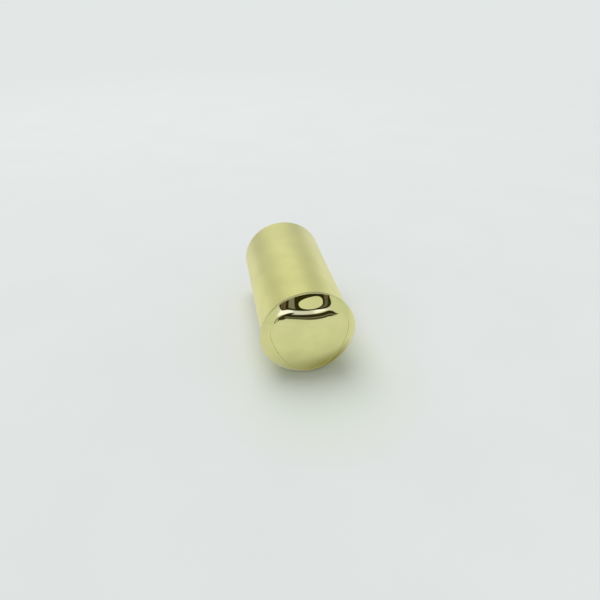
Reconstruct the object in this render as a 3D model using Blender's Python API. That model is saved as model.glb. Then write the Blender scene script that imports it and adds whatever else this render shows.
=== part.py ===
"""Lipstick case with a full-length cap, lying on its side.

Every piece is turned about the case's own axis, which is the local Z axis: the polished foot is at
height 0 and the closed end of the cap is at the top. The empty named "lying_case" then lays the whole
assembly on its side, with the foot towards -Y, so that it rests on Z = 0 with the origin under its middle.
Units are metres.
"""
import math

import bmesh
import bpy
from mathutils import Matrix, Vector

MM = 0.001

# Overall sizes
TOTAL_LENGTH = 40.6 * MM
FOOT_RADIUS = 11.0 * MM
CAP_RADIUS = 10.4 * MM
SIDES = 48
ROUND_STEPS = 3

# Polished foot: a crowned panel with three bowed sides, and a band that swells from it to the round rim
STANDING_RADIUS = 2.2 * MM
CROWN_RADIUS = 21.5 * MM
PANEL_SIDES = 3
PANEL_SIDE = 7.8 * MM
PANEL_CORNER = 9.45 * MM
PANEL_BOW = 0.06 * MM
PANEL_RINGS = 3
BAND_RISE = 2.2 * MM
BAND_SWELL = 0.4
BAND_RINGS = 3
FOOT_RIM = BAND_RISE + (PANEL_SIDE ** 2 - STANDING_RADIUS ** 2) / (2 * CROWN_RADIUS)
FOOT_SHOULDER = FOOT_RIM + 0.4 * MM
SOCKET_RADIUS = 7.7 * MM
SOCKET_FLOOR = 2.6 * MM
UPSTAND_RADIUS = 8.15 * MM
UPSTAND_TOP = 6.0 * MM

# Inner base, between the foot and the turning collar
NECK_RADIUS = 8.7 * MM
NECK_INNER_RADIUS = 8.3 * MM
NECK_BOTTOM = FOOT_SHOULDER + 0.3 * MM
NECK_TOP = 12.0 * MM
CORE_BOTTOM = SOCKET_FLOOR + 0.3 * MM
CORE_PLUG_RADIUS = 7.55 * MM
CORE_POCKET_RADIUS = 6.6 * MM
CORE_POCKET_TOP = 5.6 * MM
CORE_WEB_TOP = 6.8 * MM
CORE_TOP = 11.6 * MM
CORE_VENT_RADIUS = 1.5 * MM
WEIGHT_RADIUS = 6.4 * MM
WEIGHT_HOLE_RADIUS = 1.2 * MM
WEIGHT_BOTTOM = SOCKET_FLOOR + 0.4 * MM
WEIGHT_TOP = 5.3 * MM

# Lifting mechanism
GUIDE_OUTER_RADIUS = 7.2 * MM
GUIDE_INNER_RADIUS = 6.7 * MM
GUIDE_BOTTOM = 7.0 * MM
GUIDE_TOP = 29.3 * MM
GUIDE_SLOT_WIDTH = 2.0 * MM
SLEEVE_OUTER_RADIUS = 8.15 * MM
SLEEVE_INNER_RADIUS = 7.35 * MM
SLEEVE_BOTTOM = 12.9 * MM
SLEEVE_TOP = 29.0 * MM
LUG_RADIUS = 0.8 * MM
LUG_REACH = 8.0 * MM
LUG_REST = 14.6 * MM
STROKE = 12.5 * MM
TRACK_HEIGHT = 2.1 * MM
TRACK_RUN_OUT = math.radians(10.0)
TRACK_STARTS = 2
COLLAR_BOTTOM = 12.3 * MM
COLLAR_TOP = 30.0 * MM

# Cup that holds the stick
CUP_OUTER_RADIUS = 6.55 * MM
CUP_INNER_RADIUS = 6.05 * MM
CUP_BOTTOM = 13.4 * MM
CUP_TOP = 21.0 * MM
CUP_FLOOR = 0.7 * MM
CUP_RIB_COUNT = 4

# Cap
CAP_WALL = 0.6 * MM
CAP_MOUTH = FOOT_SHOULDER + 0.2 * MM
LINER_OUTER_RADIUS = 9.65 * MM
LINER_INNER_RADIUS = 8.95 * MM
LINER_MOUTH = CAP_MOUTH + 0.4 * MM
LINER_TOP = TOTAL_LENGTH - 2.6 * MM
LINER_ROOF = 0.9 * MM
GRIP_RIB_COUNT = 6
GRIP_RIB_HEIGHT = 0.12 * MM
GRIP_RIB_LENGTH = 5.0 * MM

AXIS = Vector((0.0, 0.0, 1.0))
CENTRE = Vector((0.0, 0.0, 0.0))


def rounded(corners, steps):
    """Swap each corner that states a radius for an arc tangent to its two sides."""
    points = []
    for index, (radius, height, *rounding) in enumerate(corners):
        here = Vector((radius, height))
        if not rounding:
            points.append(here)
            continue
        before = Vector(corners[index - 1][:2])
        after = Vector(corners[(index + 1) % len(corners)][:2])
        to_before = (before - here).normalized()
        to_after = (after - here).normalized()
        half_angle = to_before.angle(to_after) / 2
        centre = here + (to_before + to_after).normalized() * rounding[0] / math.sin(half_angle)
        start = here + to_before * rounding[0] / math.tan(half_angle) - centre
        finish = here + to_after * rounding[0] / math.tan(half_angle) - centre
        for step in range(steps + 1):
            direction = start.normalized().slerp(finish.normalized(), step / steps)
            points.append(centre + direction * rounding[0])
    return points


def new_object(name, bm, parent):
    """Write a closed bmesh to a named object whose origin lies on the case's axis."""
    bmesh.ops.remove_doubles(bm, verts=bm.verts, dist=0.001 * MM)
    bmesh.ops.recalc_face_normals(bm, faces=bm.faces)
    mesh = bpy.data.meshes.new(name)
    bm.to_mesh(mesh)
    bm.free()
    mesh.shade_smooth()
    mesh.set_sharp_from_angle(angle=math.radians(30.0))
    obj = bpy.data.objects.new(name, mesh)
    bpy.context.scene.collection.objects.link(obj)
    obj.parent = parent
    return obj


def turned_bmesh(corners, steps=ROUND_STEPS):
    """Spin an outline of (radius, height) corners about the axis; it may start and end on the axis."""
    bm = bmesh.new()
    half_side = Matrix.Rotation(math.pi / SIDES, 3, AXIS)
    points = rounded(corners, steps)
    outline = [bm.verts.new(half_side @ Vector((point.x, 0.0, point.y))) for point in points]
    edges = [bm.edges.new(pair) for pair in zip(outline, outline[1:])]
    if corners[0][0] > 0.0:
        edges.append(bm.edges.new((outline[-1], outline[0])))
    bmesh.ops.spin(bm, geom=outline + edges, cent=CENTRE, axis=AXIS, angle=math.tau, steps=SIDES,
                   use_merge=True)
    bmesh.ops.remove_doubles(bm, verts=bm.verts, dist=0.001 * MM)
    return bm


def turned(name, corners, parent, steps=ROUND_STEPS):
    return new_object(name, turned_bmesh(corners, steps), parent)


def add_block(bm, size, centre, turn):
    """Add a rectangular block, given as (radial, tangential, axial) sizes, and turn it about the axis."""
    place = Matrix.Rotation(turn, 4, AXIS) @ Matrix.Translation(centre) @ Matrix.Diagonal((*size, 1.0))
    bmesh.ops.create_cube(bm, size=1.0, matrix=place)


def tool(name, bm, parent):
    """Make a cutting or joining shape, which isn't a piece of the case."""
    obj = new_object(name, bm, parent)
    obj.hide_render = True
    obj.display_type = 'WIRE'
    return obj


def combine(obj, operand, operation):
    modifier = obj.modifiers.new(operand.name, 'BOOLEAN')
    modifier.operation = operation
    modifier.solver = 'EXACT'
    modifier.object = operand


def finish(obj, colour, roughness, metallic):
    material = bpy.data.materials.new(obj.name)
    material.use_nodes = True
    shader = material.node_tree.nodes['Principled BSDF']
    shader.inputs['Base Color'].default_value = (*colour, 1.0)
    shader.inputs['Roughness'].default_value = roughness
    shader.inputs['Metallic'].default_value = metallic
    obj.data.materials.append(material)


def empty(name, parent):
    obj = bpy.data.objects.new(name, None)
    bpy.context.scene.collection.objects.link(obj)
    obj.parent = parent
    return obj


GOLD = (0.66, 0.62, 0.33)
STEEL = (0.55, 0.56, 0.57)
WHITE_PLASTIC = (0.82, 0.82, 0.80)
CLEAR_GREY = (0.62, 0.63, 0.64)


def crease_radius(angle):
    """Distance from the axis to the panel's edge: three bowed sides that meet in soft corners."""
    lobes = PANEL_SIDES * (angle + math.pi / 2)
    middle = (PANEL_SIDE + PANEL_CORNER) / 2
    swing = (PANEL_CORNER - PANEL_SIDE) / 2
    return middle - swing * math.cos(lobes) - PANEL_BOW * (1 - math.cos(2 * lobes))


def crown_height(radius):
    """Height of the crowned panel, which is flat where the case stands."""
    return (radius ** 2 - STANDING_RADIUS ** 2) / (2 * CROWN_RADIUS)


def foot_point(share, angle):
    """Point on the foot's end. The share is 0 on the standing circle, 1 on the crease and 2 on the rim."""
    crease = crease_radius(angle)
    if share <= 1.0:
        radius = STANDING_RADIUS + share * (crease - STANDING_RADIUS)
        height = crown_height(radius)
    else:
        across = share - 1.0
        radius = crease + across * (FOOT_RADIUS - crease)
        drop = FOOT_RIM - crown_height(crease)
        height = FOOT_RIM - drop * (1 - across) * (1 + BAND_SWELL * across)
    return Vector((radius * math.cos(angle), radius * math.sin(angle), height))


def base_foot(parent):
    """Solid polished foot: its end is lofted from a three-sided crowned panel out to a round rim."""
    shares = [step / PANEL_RINGS for step in range(PANEL_RINGS)]
    shares += [1 + step / BAND_RINGS for step in range(BAND_RINGS + 1)]
    width = FOOT_RADIUS - STANDING_RADIUS
    flat_rings = [(STANDING_RADIUS + share / 2 * width, 0.0) for share in shares]
    bm = turned_bmesh([(0.0, 0.0)] + flat_rings + [
        (FOOT_RADIUS, FOOT_SHOULDER, 0.15 * MM),
        (UPSTAND_RADIUS, FOOT_SHOULDER),
        (UPSTAND_RADIUS, UPSTAND_TOP, 0.15 * MM),
        (SOCKET_RADIUS, UPSTAND_TOP),
        (SOCKET_RADIUS, SOCKET_FLOOR),
        (0.0, SOCKET_FLOOR),
    ])
    for vert in bm.verts:
        radius = math.hypot(vert.co.x, vert.co.y)
        on_end = vert.co.z < 0.001 * MM
        if on_end and radius > STANDING_RADIUS / 2:
            share = 2 * (radius - STANDING_RADIUS) / width
            vert.co = foot_point(share, math.atan2(vert.co.y, vert.co.x))
    obj = new_object('base_foot', bm, parent)
    finish(obj, GOLD, 0.05, 1.0)


def base_core(parent):
    """Plastic inner base: a plug with a pocket for the weight below and a socket for the guide above."""
    obj = turned('base_core', [
        (CORE_POCKET_RADIUS, CORE_BOTTOM),
        (CORE_PLUG_RADIUS, CORE_BOTTOM, 0.2 * MM),
        (CORE_PLUG_RADIUS, UPSTAND_TOP + 0.3 * MM),
        (UPSTAND_RADIUS, UPSTAND_TOP + 0.3 * MM),
        (UPSTAND_RADIUS, CORE_TOP, 0.2 * MM),
        (GUIDE_OUTER_RADIUS + 0.15 * MM, CORE_TOP),
        (GUIDE_OUTER_RADIUS + 0.15 * MM, CORE_WEB_TOP),
        (CORE_VENT_RADIUS, CORE_WEB_TOP),
        (CORE_VENT_RADIUS, CORE_POCKET_TOP),
        (CORE_POCKET_RADIUS, CORE_POCKET_TOP),
    ], parent)
    finish(obj, WHITE_PLASTIC, 0.4, 0.0)


def base_weight(parent):
    """Steel slug that gives the base its heft."""
    obj = turned('base_weight', [
        (WEIGHT_HOLE_RADIUS, WEIGHT_BOTTOM),
        (WEIGHT_RADIUS, WEIGHT_BOTTOM, 0.3 * MM),
        (WEIGHT_RADIUS, WEIGHT_TOP, 0.3 * MM),
        (WEIGHT_HOLE_RADIUS, WEIGHT_TOP),
    ], parent, steps=1)
    finish(obj, STEEL, 0.45, 1.0)


def neck_shell(parent):
    """Gold sleeve over the inner base, gripped when the collar is turned."""
    obj = turned('neck_shell', [
        (NECK_INNER_RADIUS, NECK_BOTTOM),
        (NECK_RADIUS, NECK_BOTTOM),
        (NECK_RADIUS, NECK_TOP, 0.3 * MM),
        (7.5 * MM, NECK_TOP, 0.1 * MM),
        (7.5 * MM, NECK_TOP - 0.3 * MM),
        (NECK_INNER_RADIUS, NECK_TOP - 0.3 * MM),
    ], parent)
    finish(obj, GOLD, 0.12, 1.0)


def guide_tube(parent):
    """Inner tube fixed in the base, with two straight slots that stop the cup from turning."""
    low = LUG_REST - LUG_RADIUS - 0.2 * MM
    high = LUG_REST + STROKE + LUG_RADIUS + 0.2 * MM
    obj = turned('guide_tube', [
        (GUIDE_INNER_RADIUS, GUIDE_BOTTOM),
        (GUIDE_OUTER_RADIUS, GUIDE_BOTTOM, 0.15 * MM),
        (GUIDE_OUTER_RADIUS, GUIDE_TOP),
        (GUIDE_INNER_RADIUS, GUIDE_TOP),
    ], parent)
    bm = bmesh.new()
    add_block(bm, (2.4 * GUIDE_OUTER_RADIUS, GUIDE_SLOT_WIDTH, high - low),
              Vector((0.0, 0.0, (low + high) / 2)), 0.0)
    combine(obj, tool('guide_slots', bm, parent), 'DIFFERENCE')
    finish(obj, WHITE_PLASTIC, 0.35, 0.0)


def brake_ring(parent):
    """Rubber ring between the neck and the spiral sleeve, which gives the turn its drag."""
    section = 0.28 * MM
    middle = Vector((7.75 * MM, 12.55 * MM))
    corners = []
    for step in range(6):
        angle = math.tau * (step + 0.5) / 6
        corners.append((middle.x + section * math.cos(angle), middle.y + section * math.sin(angle)))
    obj = turned('brake_ring', corners, parent)
    finish(obj, (0.03, 0.03, 0.03), 0.8, 0.0)


def track_tool(parent):
    """Two ribbons that rise round the axis and cut the spiral sleeve's tracks."""
    bm = bmesh.new()
    sweep = math.tau + 2 * TRACK_RUN_OUT
    rise = STROKE * sweep / math.tau
    low = LUG_REST - STROKE * TRACK_RUN_OUT / math.tau
    inner = SLEEVE_INNER_RADIUS - 0.3 * MM
    outer = SLEEVE_OUTER_RADIUS + 0.3 * MM
    for start in range(TRACK_STARTS):
        turn = Matrix.Rotation(math.tau * start / TRACK_STARTS - TRACK_RUN_OUT, 3, AXIS)
        half = TRACK_HEIGHT / 2
        section = [(inner, low - half), (outer, low - half), (outer, low + half), (inner, low + half)]
        corners = [bm.verts.new(turn @ Vector((radius, 0.0, height))) for radius, height in section]
        first = bm.faces.new(corners)
        bmesh.ops.spin(bm, geom=[first], cent=CENTRE, axis=AXIS, dvec=AXIS * rise / SIDES, angle=sweep,
                       steps=SIDES)
    return tool('spiral_tracks', bm, parent)


def spiral_sleeve(parent):
    """Turning sleeve whose two rising tracks lift the cup's lugs by one stroke in one turn."""
    obj = turned('spiral_sleeve', [
        (SLEEVE_INNER_RADIUS, SLEEVE_BOTTOM),
        (SLEEVE_OUTER_RADIUS, SLEEVE_BOTTOM, 0.15 * MM),
        (SLEEVE_OUTER_RADIUS, SLEEVE_TOP, 0.15 * MM),
        (SLEEVE_INNER_RADIUS, SLEEVE_TOP),
    ], parent)
    combine(obj, track_tool(parent), 'DIFFERENCE')
    finish(obj, CLEAR_GREY, 0.3, 0.0)


def collar_shell(parent):
    """Gold collar round the spiral sleeve, with its lip rolled in over the guide tube."""
    obj = turned('collar_shell', [
        (NECK_INNER_RADIUS, COLLAR_BOTTOM),
        (NECK_RADIUS, COLLAR_BOTTOM, 0.12 * MM),
        (NECK_RADIUS, COLLAR_TOP, 0.6 * MM),
        (6.85 * MM, COLLAR_TOP, 0.15 * MM),
        (6.85 * MM, COLLAR_TOP - 0.4 * MM),
        (NECK_INNER_RADIUS, COLLAR_TOP - 0.4 * MM),
    ], parent)
    finish(obj, GOLD, 0.08, 1.0)


def cup(parent):
    """Cup that carries the stick, with gripping ribs inside and two lugs that ride in the tracks."""
    obj = turned('cup', [
        (0.0, CUP_BOTTOM),
        (CUP_OUTER_RADIUS, CUP_BOTTOM, 0.2 * MM),
        (CUP_OUTER_RADIUS, CUP_TOP, 0.2 * MM),
        (CUP_INNER_RADIUS, CUP_TOP),
        (CUP_INNER_RADIUS, CUP_BOTTOM + CUP_FLOOR),
        (0.0, CUP_BOTTOM + CUP_FLOOR),
    ], parent)
    bm = bmesh.new()
    length = 2 * LUG_REACH
    place = Matrix.Translation((0.0, 0.0, LUG_REST)) @ Matrix.Rotation(math.pi / 2, 4, 'Y')
    bmesh.ops.create_cone(bm, cap_ends=True, segments=12, radius1=LUG_RADIUS, radius2=LUG_RADIUS,
                          depth=length, matrix=place)
    for index in range(CUP_RIB_COUNT):
        add_block(bm, (0.6 * MM, 0.4 * MM, 5.6 * MM),
                  Vector((CUP_INNER_RADIUS, 0.0, CUP_BOTTOM + 3.2 * MM)),
                  math.tau * (index + 0.5) / CUP_RIB_COUNT)
    combine(obj, tool('cup_lugs_and_ribs', bm, parent), 'UNION')
    finish(obj, GOLD, 0.2, 1.0)


def cap_shell(parent):
    """Deep-drawn satin cap, closed at its far end."""
    obj = turned('cap_shell', [
        (CAP_RADIUS - CAP_WALL, CAP_MOUTH),
        (CAP_RADIUS, CAP_MOUTH, 0.12 * MM),
        (CAP_RADIUS, TOTAL_LENGTH, 0.5 * MM),
        (0.0, TOTAL_LENGTH),
        (0.0, TOTAL_LENGTH - CAP_WALL),
        (CAP_RADIUS - CAP_WALL, TOTAL_LENGTH - CAP_WALL),
    ], parent)
    finish(obj, GOLD, 0.3, 1.0)


def cap_liner(parent):
    """Plastic inner cap, with ribs near its mouth that grip the neck."""
    obj = turned('cap_liner', [
        (LINER_INNER_RADIUS, LINER_MOUTH),
        (LINER_OUTER_RADIUS, LINER_MOUTH, 0.15 * MM),
        (LINER_OUTER_RADIUS, LINER_TOP, 0.4 * MM),
        (0.0, LINER_TOP),
        (0.0, LINER_TOP - LINER_ROOF),
        (LINER_INNER_RADIUS, LINER_TOP - LINER_ROOF),
    ], parent)
    bm = bmesh.new()
    depth = (LINER_OUTER_RADIUS - LINER_INNER_RADIUS) / 2 + GRIP_RIB_HEIGHT
    for index in range(GRIP_RIB_COUNT):
        add_block(bm, (depth, 0.5 * MM, GRIP_RIB_LENGTH),
                  Vector((LINER_INNER_RADIUS - GRIP_RIB_HEIGHT + depth / 2, 0.0,
                          LINER_MOUTH + 1.0 * MM + GRIP_RIB_LENGTH / 2)),
                  math.tau * index / GRIP_RIB_COUNT)
    combine(obj, tool('grip_ribs', bm, parent), 'UNION')
    finish(obj, WHITE_PLASTIC, 0.4, 0.0)


def cap_weight(parent):
    """Steel disc between the liner's roof and the end of the cap."""
    obj = turned('cap_weight', [
        (0.0, LINER_TOP + 0.3 * MM),
        (8.6 * MM, LINER_TOP + 0.3 * MM, 0.2 * MM),
        (8.6 * MM, TOTAL_LENGTH - CAP_WALL - 0.3 * MM, 0.2 * MM),
        (0.0, TOTAL_LENGTH - CAP_WALL - 0.3 * MM),
    ], parent, steps=1)
    finish(obj, STEEL, 0.45, 1.0)


def build():
    for obj in list(bpy.data.objects):
        bpy.data.objects.remove(obj, do_unlink=True)

    case = empty('lying_case', None)
    case.rotation_euler = (-math.pi / 2, 0.0, 0.0)
    case.location = (0.0, -TOTAL_LENGTH / 2, FOOT_RADIUS * math.cos(math.pi / SIDES))
    base = empty('base_frame', case)
    cap = empty('cap_slide', case)
    collar = empty('collar_axis', case)
    carrier = empty('carrier_slide', case)

    base_foot(base)
    base_core(base)
    base_weight(base)
    neck_shell(base)
    guide_tube(base)
    brake_ring(base)
    spiral_sleeve(collar)
    collar_shell(collar)
    cup(carrier)
    cap_shell(cap)
    cap_liner(cap)
    cap_weight(cap)


build()
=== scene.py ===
# %% [markdown]
# # A lipstick case, cell by cell
#
# The case lies on its side on a pale table. The end nearest the camera is a polished foot with a
# crowned, three-sided panel. Behind it a long satin cap slides off along the case's own axis, and under
# the cap a gold collar turns a spiral that lifts a small cup. Almost every piece is turned, so most of
# the modelling is one idea: draw half a section and spin it.

import math

import bmesh
import bpy
from mathutils import Matrix, Vector


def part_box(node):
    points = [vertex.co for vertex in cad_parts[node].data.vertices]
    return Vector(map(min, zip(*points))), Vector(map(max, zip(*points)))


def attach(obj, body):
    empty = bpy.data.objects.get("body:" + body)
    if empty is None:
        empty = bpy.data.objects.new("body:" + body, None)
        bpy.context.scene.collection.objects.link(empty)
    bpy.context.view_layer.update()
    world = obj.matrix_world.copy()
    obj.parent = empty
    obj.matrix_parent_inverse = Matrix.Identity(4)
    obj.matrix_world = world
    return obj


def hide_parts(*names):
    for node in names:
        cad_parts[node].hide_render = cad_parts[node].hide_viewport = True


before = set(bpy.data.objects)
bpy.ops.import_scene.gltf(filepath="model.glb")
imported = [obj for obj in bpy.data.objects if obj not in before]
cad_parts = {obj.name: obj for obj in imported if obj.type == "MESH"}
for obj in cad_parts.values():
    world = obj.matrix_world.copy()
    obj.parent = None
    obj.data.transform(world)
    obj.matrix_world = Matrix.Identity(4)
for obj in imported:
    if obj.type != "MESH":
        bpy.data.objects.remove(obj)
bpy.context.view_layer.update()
MM = 0.001

# %% [markdown]
# ## Where things are
#
# Each piece is drawn upright in millimetres, with the foot's face at height 0 and the case's axis along
# Z, the way it would stand in a lathe. One matrix then lays the finished mesh on its side. The foot's
# own box says where its face and its axis are, so nothing is typed in twice. A piece's length and outer
# radius are read from the box of the node that it stands for.

# %% Lay upright millimetres on the table
foot_low, foot_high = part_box("base_foot")
AXIS_HEIGHT = (foot_low.z + foot_high.z) / 2
LAY_DOWN = (Matrix.Translation((0.0, foot_low.y, AXIS_HEIGHT))
            @ Matrix.Rotation(-math.pi / 2, 4, "X") @ Matrix.Scale(MM, 4))


def span(node):
    """Lowest height, highest height and outer radius of a node, in upright millimetres."""
    low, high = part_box(node)
    return (low.y - foot_low.y) / MM, (high.y - foot_low.y) / MM, (high.z - AXIS_HEIGHT) / MM


FOOT_RADIUS = span("base_foot")[2]
FOOT_RIM = 3.50
print(f"axis {AXIS_HEIGHT / MM:.2f} mm up, foot radius {FOOT_RADIUS:.2f} mm")

# %% [markdown]
# ## Camera
#
# The case is seen from close by, a little from the left and well above, so the round foot reads as a
# tilted ellipse and the barrel narrows towards its far end. A short lens near the object gives that
# strong narrowing. The camera is placed by two angles and a distance from the middle of the foot's rim,
# and then moved in its own plane, which frames the view without tilting it.

# %% Camera
CAMERA_TURN = math.radians(-10.88)
CAMERA_RISE = math.radians(34.11)
CAMERA_DISTANCE = 10.36 * FOOT_RADIUS
CAMERA_SIDE = -0.173 * FOOT_RADIUS
CAMERA_LIFT = 0.690 * FOOT_RADIUS
LENS, SENSOR_WIDTH = 30.18, 36.0
CLIP_NEAR, CLIP_FAR = 0.005, 20.0

camera_data = bpy.data.cameras.new("camera")
camera_data.lens = LENS
camera_data.sensor_width = SENSOR_WIDTH
camera_data.clip_start = CLIP_NEAR
camera_data.clip_end = CLIP_FAR
camera = bpy.data.objects.new("camera", camera_data)
bpy.context.scene.collection.objects.link(camera)
rim_centre = LAY_DOWN @ Vector((0.0, 0.0, FOOT_RIM))
aim = Matrix.Rotation(CAMERA_TURN, 4, "Z") @ Matrix.Rotation(math.pi / 2 - CAMERA_RISE, 4, "X")
offset = Vector((CAMERA_SIDE, CAMERA_LIFT, CAMERA_DISTANCE)) * MM
camera.matrix_world = Matrix.Translation(rim_centre + aim.to_3x3() @ offset) @ aim
bpy.context.scene.camera = camera
print("camera at", [round(value, 4) for value in camera.matrix_world.translation])

# %% [markdown]
# ## Building a finish from nodes
#
# A material is a small graph of nodes. Written node by node it is long, so two helpers carry it. A
# `Wire` wraps one output socket and turns `+`, `-`, `*` and `/` into Math nodes. A `Graph` adds any other
# node from its type, its settings and its sockets. With them a finish reads like a formula.

# %% Node helpers
class Wire:
    """An output socket that can be used in arithmetic. Each operator adds one Math node."""

    def __init__(self, graph, socket):
        self.graph = graph
        self.socket = socket

    def math(self, operation, first, second=0.0):
        return self.graph.node("ShaderNodeMath", {"operation": operation}, {0: first, 1: second})

    def __add__(self, other):
        return self.math("ADD", self, other)

    def __sub__(self, other):
        return self.math("SUBTRACT", self, other)

    def __mul__(self, other):
        return self.math("MULTIPLY", self, other)

    def __truediv__(self, other):
        return self.math("DIVIDE", self, other)

    def __rsub__(self, other):
        return self.math("SUBTRACT", other, self)

    __radd__ = __add__
    __rmul__ = __mul__

    def absolute(self):
        return self.math("ABSOLUTE", self)


class Graph:
    """The node tree of one material or of the world."""

    def __init__(self, tree):
        self.tree = tree
        tree.nodes.clear()

    def node(self, kind, settings=None, sockets=None, output=0):
        """Add a node: settings are set first, then each socket gets its value or its link.
        The node's chosen output comes back as a wire, or nothing where the node ends the graph."""
        node = self.tree.nodes.new(kind)
        for name, value in (settings or {}).items():
            setattr(node, name, value)
        for name, value in (sockets or {}).items():
            if isinstance(value, Wire):
                self.tree.links.new(value.socket, node.inputs[name])
            else:
                node.inputs[name].default_value = value
        return Wire(self, node.outputs[output]) if node.outputs else None

    def fade(self, value, start, end, low=0.0, high=1.0):
        """A smooth step from low to high while the value goes from start to end."""
        return self.node("ShaderNodeMapRange", {"interpolation_type": "SMOOTHSTEP"},
                         {0: value, 1: start, 2: end, 3: low, 4: high})

    def blend(self, share, first, second):
        """Mix two colours, given as (r, g, b) or as wires."""
        colours = [value if isinstance(value, Wire) else (*value, 1.0) for value in (first, second)]
        return self.node("ShaderNodeMix", {"data_type": "RGBA"},
                         {0: share, 6: colours[0], 7: colours[1]}, output=2)

    def object_place(self):
        """Where a point lies on the object itself, so a pattern moves with its piece."""
        return self.node("ShaderNodeTexCoord", output="Object")

    def cloud(self, place, scale, detail):
        """Soft noise, about one half on average."""
        return self.node("ShaderNodeTexNoise", None, {"Vector": place, "Scale": scale, "Detail": detail})

    def glow(self, colour):
        """A surface that gives off an even light of its own."""
        return self.node("ShaderNodeEmission", None, {"Color": (*colour, 1.0), "Strength": 1.0})

    def mix(self, share, first, second):
        """Mix two surfaces."""
        return self.node("ShaderNodeMixShader", None, {0: share, 1: first, 2: second})


print("node helpers ready")

# %% [markdown]
# ## The table
#
# The table is a wide matt sheet in a pale, almost neutral grey. It takes the soft shadow, so it has to
# stay a real surface. Polished metal also shows the table, so for mirror rays the sheet gets some light
# of its own: a little in front of the foot, where the contact shadow should show in the metal, and more
# beside the barrel. Close to the rim, on the shadow side, mirror rays meet a darker and yellower patch.
# It stands for the bit of table that only the gold lights, and it is painted because a real bounce that
# small takes many samples to come out clean. Past the bench's end mirror rays go through the sheet to the
# room. Gold also throws a faint yellow-green onto the table round it, which is painted into the sheet's
# colour. Far away the sheet turns into the backdrop's colour for the camera, so there is no hard horizon.

# %% Tones of the table
TABLE_COLOUR = (0.800, 0.822, 0.818)
TABLE_ROUGHNESS = 0.4
TABLE_GRAIN, TABLE_GRAIN_DETAIL = 35.0, 3.0
GRAIN_RANGE = (0.3, 0.7)
TABLE_TONES = (0.985, 1.0)
# Painted bounce light: near the foot the table's colour turns yellow-green, as if lit by the gold.
TABLE_IN_GOLD_BOUNCE = (0.780, 0.822, 0.758)
GOLD_PLACE = (0.002, foot_low.y - 0.002, 0.0)
GOLD_NEAR, GOLD_FAR = 0.010, 0.028
TABLE_MIRRORED = (0.95, 0.94, 0.87)
MIRRORED_DEPTHS = (foot_low.y + 0.004, foot_low.y + 0.015)
MIRRORED_SHARES = (0.40, 0.85)
PATCH_COLOUR = (0.20, 0.19, 0.01)
PATCH_PLACE = (0.0055, foot_low.y + 0.003, 0.0)
PATCH_SIZE = (0.0145, 0.0073, 1.0)
PATCH_SHARE = 0.80
BENCH_NEAR, BENCH_END = 0.05, 0.12
BACKDROP_COLOUR = (0.765, 0.797, 0.79)
SWEEP_NEAR, SWEEP_FAR = 0.12, 0.50
TABLE_REACH = 3.0
print(f"gold tints the table as far as {GOLD_FAR / MM:.0f} mm from the foot")


# %% Finish of the table
def table_colour_with_bounce(graph, place):
    """Pale grey with a faint grain, and painted bounce light: a little yellow-green close to the gold."""
    tone = graph.fade(graph.cloud(place, TABLE_GRAIN, TABLE_GRAIN_DETAIL), *GRAIN_RANGE, *TABLE_TONES)
    from_gold = graph.node("ShaderNodeVectorMath", {"operation": "DISTANCE"},
                           {0: place, 1: GOLD_PLACE}, output="Value")
    colour = graph.blend(graph.fade(from_gold, GOLD_FAR, GOLD_NEAR), TABLE_COLOUR, TABLE_IN_GOLD_BOUNCE)
    return graph.node("ShaderNodeVectorMath", {"operation": "SCALE"}, {0: colour, "Scale": tone})


def in_patch(graph, place):
    """How much of the dark patch beside the rim a point shows: most in its middle, none outside it."""
    off = graph.node("ShaderNodeVectorMath", {"operation": "SUBTRACT"}, {0: place, 1: PATCH_PLACE})
    off = graph.node("ShaderNodeVectorMath", {"operation": "DIVIDE"}, {0: off, 1: PATCH_SIZE})
    off = graph.node("ShaderNodeVectorMath", {"operation": "LENGTH"}, {0: off}, output="Value")
    return graph.fade(off, 1.0, 0.0, 0.0, PATCH_SHARE)


def table_finish():
    material = bpy.data.materials.new("table")
    material.use_nodes = True
    graph = Graph(material.node_tree)
    place = graph.object_place()
    depth = graph.node("ShaderNodeSeparateXYZ", None, {0: place}, output="Y")
    reach = graph.node("ShaderNodeVectorMath", {"operation": "LENGTH"}, {0: place}, output="Value")
    mirror = graph.node("ShaderNodeLightPath", output="Is Glossy Ray")
    camera_sees = graph.node("ShaderNodeLightPath", output="Is Camera Ray")
    matt = graph.node("ShaderNodeBsdfDiffuse", None,
                      {"Color": table_colour_with_bounce(graph, place), "Roughness": TABLE_ROUGHNESS})
    clear = graph.node("ShaderNodeBsdfTransparent", None, {"Color": (1.0, 1.0, 1.0, 1.0)})
    lit = graph.fade(depth, *MIRRORED_DEPTHS, *MIRRORED_SHARES)
    surface = graph.mix(mirror * lit, matt, graph.glow(TABLE_MIRRORED))
    surface = graph.mix(mirror * in_patch(graph, place), surface, graph.glow(PATCH_COLOUR))
    surface = graph.mix(mirror * graph.fade(reach, BENCH_NEAR, BENCH_END), surface, clear)
    sweep = camera_sees * graph.fade(reach, SWEEP_NEAR, SWEEP_FAR)
    surface = graph.mix(sweep, surface, graph.glow(BACKDROP_COLOUR))
    graph.node("ShaderNodeOutputMaterial", None, {"Surface": surface})
    return material


# %% Lay the table
sheet = bmesh.new()
bmesh.ops.create_grid(sheet, x_segments=1, y_segments=1, size=TABLE_REACH)
table_mesh = bpy.data.meshes.new("table")
sheet.to_mesh(table_mesh)
sheet.free()
table = bpy.data.objects.new("table", table_mesh)
bpy.context.scene.collection.objects.link(table)
table_mesh.materials.append(table_finish())
print("table laid")

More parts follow.
